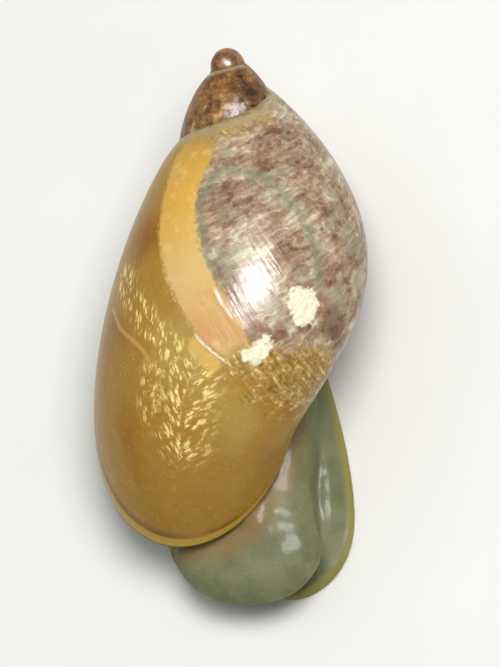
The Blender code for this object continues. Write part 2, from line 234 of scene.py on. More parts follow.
# The studio: lamps with their width and length in metres and power in watts, and the pale room
HIGHLIGHT_PIXEL = (256, 283)
KEY_DISTANCE = 0.16
KEY_LAMP = ((0.1, 0.1), 0.27, (1.0, 0.98, 0.95))
GLINT_LAMP = ((0.095, 0.048), 1.4, (1.0, 1.0, 1.0))
FILL_LAMP = ((0.16, 0.16), 0.06, (0.95, 0.98, 1.0))
ROOM_COLOUR = (0.94, 0.97, 1.0, 1.0)
ROOM_STRENGTH = 0.34
FLOOR_HALF_WIDTH = 0.6


def smooth(share):
    """Smooth step from 0 to 1."""
    share = np.clip(share, 0.0, 1.0)
    return share * share * (3.0 - 2.0 * share)


def by_age(turns, values):
    """A ring size at negative numbers of turns, from its three named values."""
    return np.interp(turns, (-1.0, -0.5, 0.0), values[::-1])


def growth(turns):
    last = np.maximum(turns, -1.0)
    middle = np.clip(turns + 1.0, -1.0, 0.0)
    first = np.minimum(turns + 2.0, 0.0)
    return LAST_TURN_GROWTH**last * MIDDLE_TURN_GROWTH**middle * FIRST_TURN_GROWTH**first


def ring_outline(turns, angle):
    across = by_age(turns, RING_HALF_WIDTHS) * np.cos(angle)
    across = across * (1.0 - by_age(turns, RING_EGGS) * np.sin(angle))
    along = by_age(turns, RING_HALF_LENGTHS) * np.sin(angle)
    reach = across * math.cos(RING_LEAN) - along * math.sin(RING_LEAN)
    place = across * math.sin(RING_LEAN) + along * math.cos(RING_LEAN)
    return np.maximum(by_age(turns, RING_REACHES) + reach, by_age(turns, RING_INNER_REACHES)), place


def shell_matrix():
    """Carries the shell's own frame, with the coil axis along Z and the tip at the origin."""
    middle = Matrix.Translation((RING_REACHES[0], 0.0, RING_DROP))
    tilt = Matrix.Rotation(AXIS_SLOPE - math.radians(90.0), 4, "X")
    yaw = Matrix.Rotation(AXIS_YAW, 4, "Z")
    return Matrix.Translation((0.0, 0.0, LIP_HEIGHT)) @ yaw @ tilt @ middle


def shell_points(turns, angle, inset=0.0):
    """Points of the shell's wall, for arrays of turns, ring angles and insets in metres."""
    size = growth(turns)
    reach, place = ring_outline(turns, angle)
    step = 0.01
    reach_before, place_before = ring_outline(turns, angle - step)
    reach_after, place_after = ring_outline(turns, angle + step)
    run = reach_after - reach_before
    rise = place_after - place_before
    length = np.maximum(np.hypot(run, rise), 1e-9)
    reach = reach - inset / size * rise / length
    place = place + inset / size * run / length
    azimuth = math.pi - 2.0 * math.pi * turns
    slant = place * math.sin(AXIS_SLOPE)
    x = np.cos(azimuth) * reach + np.sin(azimuth) * slant
    y = np.sin(azimuth) * reach - np.cos(azimuth) * slant
    z = place * math.cos(AXIS_SLOPE) - RING_DROP
    return carried(np.stack([x * size, y * size, z * size], axis=-1))


def carried(local):
    """Takes points from the shell's own frame to the construction's frame."""
    carry = np.array(shell_matrix())
    return local @ carry[:3, :3].T + carry[:3, 3]


def shift_to_frame():
    """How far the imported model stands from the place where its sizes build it."""
    turns, angle = np.meshgrid(np.linspace(-1.0, 0.0, 41), np.arange(36) * math.pi / 18.0, indexing="ij")
    points = shell_points(turns, angle)
    low = points.min(axis=(0, 1))
    high = points.max(axis=(0, 1))
    box_low, box_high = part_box("shell_body_whorl")
    middle = ((box_low + box_high) / 2.0) - Vector((low + high) / 2.0)
    return Vector((middle.x, middle.y, 0.0))


SHIFT = shift_to_frame()


def set_in_scene(name, data):
    obj = bpy.data.objects.new(name, data)
    bpy.context.scene.collection.objects.link(obj)
    return obj


def make_object(name, verts, faces):
    mesh = bpy.data.meshes.new(name)
    mesh.from_pydata(np.asarray(verts).tolist(), [], faces)
    mesh.update()
    return set_in_scene(name, mesh)


def keep(obj, **marks):
    """Keeps numbers for each vertex, by name, for the materials."""
    for name, values in marks.items():
        attribute = obj.data.attributes.new(name, "FLOAT", "POINT")
        attribute.data.foreach_set("value", np.asarray(values, dtype=np.float32).ravel())


def round_angles(sides):
    return np.arange(sides) * 2.0 * math.pi / sides


def bell(values, width, power=2):
    """A soft bump, 1 in the middle."""
    return np.exp(-((values / width) ** power))


def grid_quads(rows, columns):
    """Quads between rows of points that close on themselves."""
    i, j = np.meshgrid(np.arange(rows - 1), np.arange(columns), indexing="ij")
    k = (j + 1) % columns
    quads = np.stack([i * columns + j, i * columns + k, (i + 1) * columns + k, (i + 1) * columns + j], -1)
    return quads.reshape(-1, 4)


# The camera

def camera_axes():
    """Unit vectors to the picture's right, to its top and towards the camera."""
    azimuth, elevation, roll = CAMERA_AZIMUTH, CAMERA_ELEVATION, CAMERA_ROLL
    flat = math.cos(elevation)
    towards = Vector((math.sin(azimuth) * flat, -math.cos(azimuth) * flat, math.sin(elevation)))
    level = Vector((math.cos(azimuth), math.sin(azimuth), 0.0))
    upright = towards.cross(level)
    right = level * math.cos(roll) + upright * math.sin(roll)
    return right, towards.cross(right), towards


RIGHT, UP, TOWARDS = camera_axes()
AIM = SHIFT + RIGHT * AIM_RIGHT + UP * AIM_UP + TOWARDS * AIM_DEPTH
CAMERA_PLACE = AIM + TOWARDS * CAMERA_DISTANCE


def pixel_ray(x, y):
    """Unit direction from the camera through a pixel of the photograph."""
    right = (x - PHOTO_WIDTH / 2.0) / PIXELS_PER_MM * MM
    up = (PHOTO_HEIGHT / 2.0 - y) / PIXELS_PER_MM * MM
    return (AIM + RIGHT * right + UP * up - CAMERA_PLACE).normalized()


def build_camera():
    data = bpy.data.cameras.new("camera")
    data.sensor_width = CAMERA_SENSOR
    data.lens = CAMERA_SENSOR * CAMERA_DISTANCE / (PHOTO_HEIGHT / PIXELS_PER_MM * MM)
    data.clip_start = 0.01
    data.clip_end = 10.0
    camera = set_in_scene("camera", data)
    facing = Matrix((RIGHT, UP, TOWARDS)).transposed().to_4x4()
    camera.matrix_world = Matrix.Translation(CAMERA_PLACE) @ facing
    bpy.context.scene.camera = camera


# The shell

def wander(values, seed):
    """Smooth random wandering between -1 and 1 along a line of values, one step for each whole number."""
    knots = np.random.default_rng(seed).uniform(-1.0, 1.0, 4096)
    low = np.floor(values).astype(int)
    share = smooth(values - low)
    return knots[low % 4096] * (1.0 - share) + knots[(low + 1) % 4096] * share


def on_line(degrees, line):
    """Turns (negative) of a line on the shell at each ring angle in degrees."""
    at, turns = zip(*line)
    return -np.interp(degrees, at, turns)


def ring_degrees(angle):
    return np.degrees((angle + math.pi) % (2.0 * math.pi) - math.pi)


def growth_relief(turns, angle):
    """Height of the growth lines over the smooth shell, in metres."""
    size = np.sqrt(growth(turns))
    bend = 0.35 * np.sin(angle + 0.6) + 0.2 * np.sin(2.0 * angle)
    relief = sum(height * wander(turns * rate + bend, seed) for height, rate, seed in GROWTH_LINES) * size
    degrees = ring_degrees(angle)
    for line, height, ends in RIDGES:
        fade = smooth((degrees - ends[0]) / 8.0) * smooth((ends[1] - degrees) / 8.0)
        relief = relief + height * fade * bell(turns - on_line(degrees, line), RIDGE_HALF_WIDTH)
    return relief * MM


def grid_normals(rows):
    """Outward unit normals of rows of points that close on themselves."""
    along = np.gradient(rows, axis=0)
    around = np.roll(rows, -1, axis=1) - np.roll(rows, 1, axis=1)
    normal = np.cross(around, along)
    return normal / np.maximum(np.linalg.norm(normal, axis=2, keepdims=True), 1e-12)


def shell_rows():
    """Rows of points for the outer wall, the rounded lip and the inner wall, with turns and lip distance."""
    early = round((-1.0 - SHELL_START) * RINGS_PER_EARLY_TURN)
    first = np.linspace(SHELL_START, -1.0, early, endpoint=False)
    turns = np.concatenate([first, np.linspace(-1.0, 0.0, RINGS_IN_LAST_TURN + 1)])
    angles = round_angles(RING_SIDES)
    grid_turns, grid_angles = np.meshgrid(turns, angles, indexing="ij")
    outer = shell_points(grid_turns, grid_angles)
    relief = growth_relief(grid_turns, grid_angles) * smooth(-grid_turns / 0.004)
    outer = outer + grid_normals(outer) * relief[..., None]
    steps = np.linalg.norm(outer[1:] - outer[:-1], axis=2)
    lip_distance = np.zeros(outer.shape[:2])
    lip_distance[:-1] = np.cumsum(steps[::-1], axis=0)[::-1]
    pace = steps[-4:].sum(axis=0) / (turns[-1] - turns[-5])
    onwards = outer[-1] - outer[-5]
    onwards /= np.maximum(np.linalg.norm(onwards, axis=1, keepdims=True), 1e-9)
    parts = [(outer, grid_turns, lip_distance)]
    edge_steps = 6
    radius = WALL / 2.0
    zeros = np.zeros((1, RING_SIDES))
    for i in range(1, edge_steps):
        turn = math.pi * i / edge_steps
        row = shell_points(zeros[0], angles, radius * (1.0 - math.cos(turn)))
        parts.append(((row + onwards * radius * math.sin(turn))[None], zeros, zeros))
    inner_steps = 8
    for i in range(inner_steps + 1):
        depth = RIM_DEPTH * i / inner_steps
        back = np.minimum(depth / pace, 0.05)
        parts.append((shell_points(-back, angles, WALL)[None], -back[None], zeros + depth))
    rows, turns, lip_distance = [np.concatenate(arrays) for arrays in zip(*parts)]
    return rows, turns, lip_distance / MM


def ellipsoid_rows(centre, radii, sides=40, steps=24, cap=0.03):
    polar = np.linspace(cap, math.pi - cap, steps)
    angle = round_angles(sides)
    polar, angle = np.meshgrid(polar, angle, indexing="ij")
    unit = np.stack([np.sin(polar) * np.cos(angle), np.sin(polar) * np.sin(angle), np.cos(polar)], axis=-1)
    return unit * np.array(radii) + np.array(centre)


def knob_rows(sides, steps):
    """The first whorl's rounded tip, as rows from its top down."""
    radii = (KNOB_RADIUS, KNOB_RADIUS, KNOB_RADIUS * KNOB_STRETCH)
    return carried(ellipsoid_rows((0.0, 0.0, -KNOB_DEPTH), radii, sides, steps, 0.02))


def in_ring_plane(local, turns):
    """Points against the ring's plane at some turns: distance ahead, reach and place, at lip size."""
    size = growth(turns)
    azimuth = math.pi - 2.0 * math.pi * turns
    x, y, z = (local / size[:, None]).T
    place = (z + RING_DROP) / math.cos(AXIS_SLOPE)
    ahead = np.sin(azimuth) * x - np.cos(azimuth) * y - place * math.sin(AXIS_SLOPE)
    return np.stack([ahead, np.cos(azimuth) * x + np.sin(azimuth) * y, place])


def depth_in_ring(turns, reach, place):
    """How deep a place in the ring's plane lies inside the ring, in metres; negative outside."""
    out = reach - by_age(turns, RING_REACHES)
    across = out * math.cos(RING_LEAN) + place * math.sin(RING_LEAN)
    along = (place * math.cos(RING_LEAN) - out * math.sin(RING_LEAN)) / by_age(turns, RING_HALF_LENGTHS)
    width = by_age(turns, RING_HALF_WIDTHS) * np.sqrt(np.maximum(1.0 - along**2, 0.0))
    width = width * (1.0 - by_age(turns, RING_EGGS) * along)
    depth = np.minimum(width - np.abs(across), reach - by_age(turns, RING_INNER_REACHES))
    return np.where(np.abs(along) < 1.0, depth, -1.0) * growth(turns)


def buried(points, turns):
    """Marks the points that lie well inside a later whorl, where nothing shows."""
    carry = np.array(shell_matrix())
    local = (points - carry[:3, 3]) @ carry[:3, :3]
    hidden = np.zeros(len(points), dtype=bool)
    step = 0.02
    before = in_ring_plane(local, turns + 0.4)
    for ahead_by in np.arange(0.4 + step, 1.6, step):
        after = in_ring_plane(local, turns + ahead_by)
        crossed = (before[0] > 0.0) != (after[0] > 0.0)
        part = before[0] / np.where(crossed, before[0] - after[0], 1.0)
        at = turns + ahead_by - step * (1.0 - part)
        reach, place = before[1:] + (after[1:] - before[1:]) * part
        deep = depth_in_ring(at, reach, place) > BURIED_DEPTH
        hidden |= crossed & deep & (at < WHOLE_TURNS)
        before = after
    return hidden


def build_shell():
    """The whole shell as one thin-lipped tube, without what later whorls cover."""
    rows, turns, lip_distance = shell_rows()
    sides = RING_SIDES
    angles = np.tile(round_angles(sides), len(rows))
    knob = knob_rows(72, 44)
    tube_count = rows.shape[0] * sides
    points = np.concatenate([rows.reshape(-1, 3), knob.reshape(-1, 3)]) + np.array(SHIFT)
    knob_count = len(points) - tube_count
    turns = np.concatenate([turns.ravel(), np.full(knob_count, KNOB_TURNS)])
    angles = np.concatenate([angles, np.zeros(knob_count)])
    lip_distance = np.concatenate([lip_distance.ravel(), np.full(knob_count, 30.0)])
    knob_quads = grid_quads(knob.shape[0], knob.shape[1])[:, ::-1] + tube_count
    quads = np.concatenate([grid_quads(len(rows), sides), knob_quads])
    hidden = buried(points - np.array(SHIFT), turns)
    quads = quads[~hidden[quads].all(axis=1)]
    back_cap = np.arange(tube_count - sides, tube_count)
    knob_cap = np.arange(tube_count, tube_count + knob.shape[1])
    used = np.unique(np.concatenate([quads.ravel(), back_cap, knob_cap]))
    renumber = np.zeros(len(points), dtype=int)
    renumber[used] = np.arange(len(used))
    faces = renumber[quads].tolist()
    faces.append(renumber[back_cap].tolist())
    faces.append(renumber[knob_cap].tolist())
    points = points[used]
    shell = make_object("shell", points, faces)
    keep(shell, turns=turns[used], lip_distance=lip_distance[used])
    mark_shell(shell, points, turns[used], angles[used], renumber[quads])
    shell.data.shade_smooth()
    return shell


def anchor(tree, pixel):
    """The place on the shell that a pixel of the photograph shows, and the surface's normal there."""
    place, normal = tree.ray_cast(CAMERA_PLACE, pixel_ray(*pixel))[:2]
    return np.array(place), np.array(normal)


def along_line(points, places):
    """Distance in millimetres from each point to a run of places, and how far along the run, from 0 to 1."""
    best = np.full(len(points), 1e9)
    share = np.zeros(len(points))
    count = len(places) - 1
    for i in range(count):
        run = places[i + 1] - places[i]
        part = np.clip(((points - places[i]) @ run) / (run @ run), 0.0, 1.0)
        distance = np.linalg.norm(points - places[i] - part[:, None] * run, axis=1)
        nearer = distance < best
        best = np.where(nearer, distance, best)
        share = np.where(nearer, (i + part) / count, share)
    return best / MM, share


def patches(points, tree, spots):
    """Signed distance in millimetres into the nearest of some round patches."""
    inside = np.full(len(points), -9.0)
    for pixel, radius in spots:
        away = np.linalg.norm(points - anchor(tree, pixel)[0], axis=1) / MM
        inside = np.maximum(inside, radius - away)
    return inside


def tones(points, tree, spots):
    """Sum of soft patches, each with its reach in millimetres and its strength."""
    total = np.zeros(len(points))
    for pixel, reach, strength in spots:
        away = np.linalg.norm(points - anchor(tree, pixel)[0], axis=1) / MM
        total += strength * bell(away, reach)
    return total


def from_pixels(points, tree, pixels):
    """Distance from each point to the line that some pixels show, and the share along it."""
    return along_line(points, [anchor(tree, pixel)[0] for pixel in pixels])


def mark_shell(shell, points, turns, angles, quads):
    """Keeps the places of the markings on the shell, as distances in millimetres."""
    tree = BVHTree.FromPolygons(points.tolist(), quads.tolist())
    pixels, half_widths = zip(*BAND_LINE)
    distance, share = from_pixels(points, tree, pixels)
    half_widths = np.interp(share, np.linspace(0.0, 1.0, len(half_widths)), half_widths)
    keep(shell, band=half_widths - distance, band_share=share)
    step = 0.002
    later = shell_points(turns + step, angles)
    pace = np.linalg.norm(shell_points(turns - step, angles) - later, axis=1) / (2.0 * step) / MM
    keep(shell, mottle=(on_line(ring_degrees(angles), MOTTLE_EDGE) - turns) * np.maximum(pace, 2.0))
    keep(shell, **{name: patches(points, tree, spots) for name, spots in PATCHES.items()})
    keep(shell, **{name: tones(points, tree, spots) for name, spots in TONES.items()})
    for name, lines in LINES.items():
        found = [from_pixels(points, tree, pixels)[0] for pixels in lines]
        keep(shell, **{name: np.min(found, axis=0)})
    first, second = [from_pixels(points, tree, pixels) for pixels in LINES["glint"]]
    keep(shell, glint_share=np.where(first[0] < second[0], first[1], second[1]))
    reach, place = ring_outline(turns, angles)
    keep(shell, ring_reach=reach / MM, ring_place=place / MM)
    keep_flecks(shell, points, tree)
    keep_suture(shell, points, turns, quads)


def keep_flecks(shell, points, tree):
    """Keeps where the golden flecks are thick, and places along and across the nearest stem's strokes."""
    weight = np.zeros(len(points))
    stem_distance = np.full(len(points), 9.0)
    along = np.zeros(len(points))
    across = np.zeros(len(points))
    for stem, slopes, reach, strength in FLECK_STEMS:
        places, normals = map(np.array, zip(*[anchor(tree, pixel) for pixel in stem]))
        upward = places[-1] - places[0]
        upward /= np.linalg.norm(upward)
        side = np.cross(upward, normals[len(stem) // 2])
        side /= np.linalg.norm(side)
        distance = along_line(points, places)[0]
        lift = (points - places[0]) @ upward / MM
        stem_lift = (places - places[0]) @ upward / MM
        stem_aside = (places - places[0]) @ side / MM
        aside = (points - places[0]) @ side / MM - np.interp(lift, stem_lift, stem_aside)
        here = strength * bell(distance, reach, 4)
        turn = np.radians(np.where(aside < 0.0, slopes[0], slopes[1]))
        nearest = here > weight
        along = np.where(nearest, aside * np.sin(turn) + lift * np.cos(turn), along)
        across = np.where(nearest, lift * np.sin(turn) - aside * np.cos(turn), across)
        stem_distance = np.where(nearest, distance, stem_distance)
        weight = np.maximum(weight, here)
    keep(shell, fleck_weight=weight, fleck_stem=stem_distance, fleck_along=along, fleck_across=across)


def keep_suture(shell, points, turns, quads):
    """Keeps the distance from each whorl to the whorl before it, in millimetres at the size of the lip."""
    distance = np.full(len(points), 9.0)
    quad_turns = turns[quads].mean(axis=1)
    for start, end, before in SUTURE_SPANS:
        tree = BVHTree.FromPolygons(points.tolist(), quads[quad_turns < before].tolist())
        for i in np.nonzero((turns >= start) & (turns < end))[0]:
            found = tree.find_nearest(points[i], 0.0012)
            if found[3] is not None:
                distance[i] = found[3] / MM / growth(turns[i]) ** 0.8
    keep(shell, suture=distance)


# The soft body

def blend(share):
    return float(smooth(share))


def midline(y):
    """Sideways place of the soft body's middle at a place along it."""
    share = blend((y - FOOT_FRONT) / (FOOT_REAR - FOOT_FRONT))
    return MIDLINE_AT_HEAD + (MIDLINE_AT_TAIL - MIDLINE_AT_HEAD) * share


def side_share(share, widest, front_power, rear_power):
    """Half width of a body outline against its widest, at a share of its length."""
    if share < widest:
        away = 1.0 - share / widest
        return (1.0 - away**front_power) ** (1.0 / front_power)
    away = (share - widest) / (1.0 - widest)
    return (1.0 - away**rear_power) ** 0.8


def plan_ring(front, rear, half_width, height):
    """A ring seen from above: the left side from front to rear, then the right side back."""
    points = []
    for i in range(2 * STATIONS):
        turn = math.pi * i / STATIONS
        share = (1.0 - math.cos(turn)) / 2.0
        side = 0.0 if i % STATIONS == 0 else math.copysign(1.0, math.sin(turn))
        y = front + share * (rear - front)
        x = midline(y) + side * half_width(share, y)
        points.append((x, y, height(share, y)))
    return np.array(points)


def finer(levels):
    """Runs a smooth curve through a table of levels, and gives it at many more heights."""
    table = np.array(levels)
    at = np.linspace(0.0, len(table) - 1.0, LEVELS)
    low = np.clip(np.floor(at).astype(int), 0, len(table) - 2)
    part = (at - low)[:, None]
    before = table[np.maximum(low - 1, 0)]
    here = table[low]
    there = table[low + 1]
    after = table[np.minimum(low + 2, len(table) - 1)]
    curve = 2.0 * here + (there - before) * part
    curve += (2.0 * before - 5.0 * here + 4.0 * there - after) * part**2
    curve += (3.0 * here - before - 3.0 * there + after) * part**3
    return (curve / 2.0).tolist()


def foot_half_width(share):
    return FOOT_HALF_WIDTH * side_share(share, FOOT_WIDEST, 2.4, 1.7)


def foot_crown(y):
    """Rise of the foot's back over its margin: low under the head, then a ridge to the tail."""
    return FOOT_CROWN * blend((y - FOOT_FRONT) / CROWN_RAMP)


def foot_rings():
    """Levels from the sole up: share of the width, step in from the ends, height, share of the crown."""
    levels = [
        (0.975, 0.00008, 0.0, 0.0), (0.995, 0.00002, 0.0001, 0.0), (1.0, 0.0, 0.0002, 0.0),
        (0.985, 0.00005, 0.00033, 0.0), (0.93, 0.00022, FOOT_MARGIN, 0.0),
        (0.86, 0.00045, FOOT_MARGIN, 0.45), (0.78, 0.0008, FOOT_MARGIN, 0.85),
        (0.6, 0.0014, FOOT_MARGIN, 0.97), (0.25, 0.0025, FOOT_MARGIN, 1.0),
    ]
    rings = []
    for width_share, step_in, base, crown_share in finer(levels):
        ring = plan_ring(
            FOOT_FRONT + step_in,
            FOOT_REAR - step_in,
            lambda share, y: foot_half_width(share) * width_share,
            lambda share, y: max(base + foot_crown(y) * crown_share, 0.0),
        )
        rings.append(notched(ring))
    return np.array(rings)


def notched(ring):
    """Draws the middle of the foot's front edge in a little."""
    place = 0.0022
    spread = 0.0007
    fade = smooth((FOOT_FRONT + 0.0012 - ring[:, 1]) / 0.0012)
    ring[:, 1] += FRONT_NOTCH * bell(ring[:, 0] - place, spread) * fade
    return ring


def body_half_width(share, y):
    """Half width of the head, the neck and the torso, run smoothly into one another."""
    front_end = side_share(share, 0.22, 2.3, 2.0) if share < 0.22 else 1.0
    rear_end = side_share(share, 0.6, 2.0, 2.4) if share > 0.6 else 1.0
    neck_middle = (HEAD_CUT + NECK_CUT) / 2.0
    to_neck = blend((y - (BODY_FRONT + 0.0012)) / (neck_middle - BODY_FRONT - 0.0012))
    to_torso = blend((y - neck_middle) / 0.0026)
    width = HEAD_HALF_WIDTH + (NECK_HALF_WIDTH - HEAD_HALF_WIDTH) * to_neck
    width += (TORSO_HALF_WIDTH - NECK_HALF_WIDTH) * to_torso
    return width * front_end * rear_end


def body_bottom(y):
    """Underside of the head, neck and torso, sunk into the foot's back."""
    return FOOT_MARGIN + foot_crown(y) - SUNK


def body_rings(lip):
    """Levels of the head, neck and torso; inside the lip's outline the back rises into the shell.

    Each has its share of the width, its step in from the ends, and its shares of the height and of the
    hood: the neck's skin hangs over the drawn-in face, so the lower levels begin further back.
    """
    levels = [
        (0.965, 0.00007, 0.0, 0.92), (0.99, 0.00001, 0.12, 1.0), (1.0, 0.0, 0.28, 1.0),
        (1.0, 0.00001, 0.42, 0.92), (0.998, 0.00002, 0.5, 0.7), (0.99, 0.00004, 0.55, 0.35),
        (0.98, 0.00008, 0.6, 0.04), (0.955, 0.00015, 0.66, 0.0), (0.9, 0.00032, 0.76, 0.0),
        (0.8, 0.0006, 0.86, 0.0), (0.62, 0.001, 0.945, 0.0), (0.32, 0.0017, 1.0, 0.0),
    ]
    rings = []
    for width_share, step_in, height_share, hood_share in finer(levels):
        ring = plan_ring(
            BODY_FRONT + step_in + HOOD_DEPTH * hood_share,
            BODY_REAR - step_in,
            lambda share, y: body_half_width(share, y) * width_share,
            lambda share, y: body_bottom(y) + (BODY_TOP - body_bottom(y)) * height_share,
        )
        depth = inside_outline(ring, lip)
        ring[:, 2] += TORSO_RISE * smooth((depth - 0.0002) / 0.0011) * smooth((height_share - 0.55) / 0.45)
        rings.append(ring)
    return np.array(rings)


def inside_outline(points, outline):
    """How deep points lie inside a closed outline, seen from above; 0 outside it."""
    x, y = points[:, :1], points[:, 1:2]
    ends = np.roll(outline, -1, axis=0)
    run = ends[:, :2] - outline[:, :2]
    part = ((x - outline[:, 0]) * run[:, 0] + (y - outline[:, 1]) * run[:, 1]) / (run**2).sum(axis=1)
    part = np.clip(part, 0.0, 1.0)
    away = np.hypot(x - outline[:, 0] - part * run[:, 0], y - outline[:, 1] - part * run[:, 1]).min(axis=1)
    crosses = (outline[:, 1] > y) != (ends[:, 1] > y)
    rise = np.where(np.abs(run[:, 1]) < 1e-12, 1e-12, run[:, 1])
    at = outline[:, 0] + (y - outline[:, 1]) / rise * run[:, 0]
    inside = (crosses & (x < at)).sum(axis=1) % 2 == 1
    return np.where(inside, away, 0.0)


def loft(name, rings, strip_caps=False):
    """Closes rows of points into one solid; strip caps join the two sides of an end row straight across."""
    rings = np.asarray(rings)
    rows, count = rings.shape[:2]
    faces = grid_quads(rows, count).tolist()
    for start in (0, (rows - 1) * count):
        if strip_caps:
            for i in range(count // 2):
                corners = [i, i + 1, (count - i - 1) % count, (count - i) % count]
                faces.append([start + k for k in dict.fromkeys(corners)])
        else:
            faces.append([start + k for k in range(count)])
    return make_object(name, rings.reshape(-1, 3), faces)


Axis = namedtuple("Axis", "root along across up length")


def feeler_axis(size, side):
    """Root and direction of a drawn-in feeler, and two directions across it."""
    root_depth = 0.0009
    root = Vector((midline(FACE_FRONT) + side * size["side"], FACE_FRONT + root_depth, size["height"]))
    rise = math.radians(size["rise"])
    along = Vector((0.06 * side, -math.cos(rise), math.sin(rise))).normalized()
    across = along.cross(Vector((0.0, 0.0, 1.0))).normalized()
    return Axis(root, along, across, across.cross(along), root_depth + size["reach"])


def feeler_rows(size, side):
    """A short rounded peg with a waist and a bulb at its tip."""
    root, along, across, up, length = feeler_axis(size, side)
    profile = [(0.0, 1.0), (0.45, 0.97), (0.7, 0.9), (0.82, 0.93), (0.9, 0.86), (0.96, 0.62), (0.99, 0.3)]
    rings = []
    for share, width in finer(profile):
        centre = root + along * length * share
        ring = []
        for i in range(36):
            angle = 2.0 * math.pi * i / 36
            ring.append(centre + (across * math.cos(angle) + up * math.sin(angle)) * size["radius"] * width)
        rings.append(ring)
    return np.array(rings)


def collar_rows(pace):
    """The mantle's thick edge, close inside the shell's wall, with a rounded rim and a groove inside it."""
    sides = RING_SIDES
    angles = round_angles(sides)
    clear = 0.00003
    profile = [
        (2.6, 0.0), (1.6, 0.0), (0.8, 0.0), (0.25, 0.00001), (0.08, 0.00005), (0.0, 0.00016),
        (0.02, 0.0003), (0.14, 0.00046), (0.3, 0.0006), (0.36, 0.0008), (0.3, 0.0011),
    ]
    rings = []
    for depth, inset in profile:
        back = np.minimum((COLLAR_DEPTH + depth * MM) / pace, 0.09)
        rings.append(shell_points(-back, angles, WALL + clear + inset))
    centre = rings[-1].mean(axis=0)
    for share in (0.7, 0.35, 0.05):
        rings.append(centre + (rings[-1] - centre) * share)
    return np.array(rings)


def lip_ring():
    angles = round_angles(RING_SIDES)
    lip = shell_points(np.zeros(RING_SIDES), angles)
    before = shell_points(np.full(RING_SIDES, -0.01), angles)
    return lip, np.linalg.norm(lip - before, axis=1) / 0.01


def joined(objects, name):
    """All the meshes as one object's mesh; the others are removed."""
    verts = []
    faces = []
    for obj in objects:
        start = len(verts)
        verts += [tuple(vert.co) for vert in obj.data.vertices]
        faces += [[start + k for k in face.vertices] for face in obj.data.polygons]
        bpy.data.objects.remove(obj, do_unlink=True)
    return make_object(name, verts, faces)


def outward(obj):
    """Turns all faces of a closed mesh outwards."""
    mesh = obj.data
    if sum(face.area * face.center.dot(face.normal) for face in mesh.polygons) < 0.0:
        mesh.flip_normals()
    return obj


def build_skin():
    """One skin over foot, tail, head, neck, torso, feelers and mantle collar."""
    lip, pace = lip_ring()
    pieces = [
        loft("foot_form", foot_rings(), strip_caps=True),
        loft("body_form", body_rings(lip), strip_caps=True),
        loft("collar_form", collar_rows(pace)),
    ]
    middle = midline(FACE_FRONT)
    front = FACE_FRONT + 0.00012
    for side in (-1.0, 1.0):
        place = (middle + side * LIP_LOBE[0] * 0.86, front, MOUTH_HEIGHT)
        pieces.append(loft("lip_form", ellipsoid_rows(place, LIP_LOBE)))
        for size in (UPPER_FEELER, LOWER_FEELER):
            pieces.append(loft("feeler_form", feeler_rows(size, side)))
    upper_place = (middle, front + 0.00003, MOUTH_HEIGHT + LIP_LOBE[2] * 0.95)
    pieces.append(loft("upper_lip_form", ellipsoid_rows(upper_place, (0.00056, 0.00026, 0.0002))))
    skin = joined([outward(piece) for piece in pieces], "snail_body")
    remesh = skin.modifiers.new("One skin", "REMESH")
    remesh.mode = "VOXEL"
    remesh.voxel_size = SKIN_VOXEL
    soften = skin.modifiers.new("Soften", "SMOOTH")
    soften.factor = 0.5
    soften.iterations = 6
    graph = bpy.context.evaluated_depsgraph_get()
    mesh = bpy.data.meshes.new_from_object(skin.evaluated_get(graph))
    skin.modifiers.clear()
    skin.data = mesh
    shape_skin(skin, lip)
    skin.data.transform(Matrix.Translation(SHIFT))
    skin.data.shade_smooth()
    return skin


def shape_skin(skin, lip):
    """Adds folds, the mouth's slit, the breathing pore and the grain, and keeps the material's marks."""
    mesh = skin.data
    points, normals = np.empty((2, len(mesh.vertices) * 3))
    mesh.vertices.foreach_get("co", points)
    mesh.vertices.foreach_get("normal", normals)
    points = points.reshape(-1, 3)
    normals = normals.reshape(-1, 3)
    lip_tree = KDTree(len(lip))
    for i, place in enumerate(lip):
        lip_tree.insert(place, i)
    lip_tree.balance()
    to_lip = np.array([lip_tree.find(point)[2] for point in points]) / MM
    middle = midline(FACE_FRONT)
    above_sole = smooth((points[:, 2] - 0.00012) / 0.0003)
    push = np.zeros(len(points))
    for i, point in enumerate(points):
        place = Vector(point) / MM
        push[i] = sum(height * noise.noise(place * waves) for height, waves in SKIN_FOLDS)
    slit = bell(points[:, 0] - middle, MOUTH_SLIT * 0.55)
    slit *= bell(points[:, 2] - MOUTH_HEIGHT + 0.00004, 0.0003, 4)
    slit *= smooth((FACE_FRONT + 0.00035 - points[:, 1]) / 0.0003)
    slit *= smooth((points[:, 1] - FACE_FRONT + 0.0006) / 0.0002)
    push -= 0.11 * slit
    pore = np.linalg.norm((points - np.array(PORE_PLACE) + (0, 0, -0.0004)) / np.array(PORE_RADII), axis=1)
    pore = bell(pore, 1.0, 4)
    push -= 0.16 * pore
    points = points + normals * (push * above_sole * MM)[:, None]
    points[:, 2] = np.maximum(points[:, 2], 0.0)
    mesh.vertices.foreach_set("co", points.ravel())
    mesh.update()
    height = points[:, 2]
    collar = smooth((height - LIP_HEIGHT - 0.0001) / 0.0004)
    edge = inside_outline(points, foot_rings()[8]) / MM + 4.0 * smooth((height - 0.0005) / 0.0004)
    keep(skin, to_lip=to_lip, above_sole=height / MM, slit=slit, pore=pore, collar=collar, edge=edge)


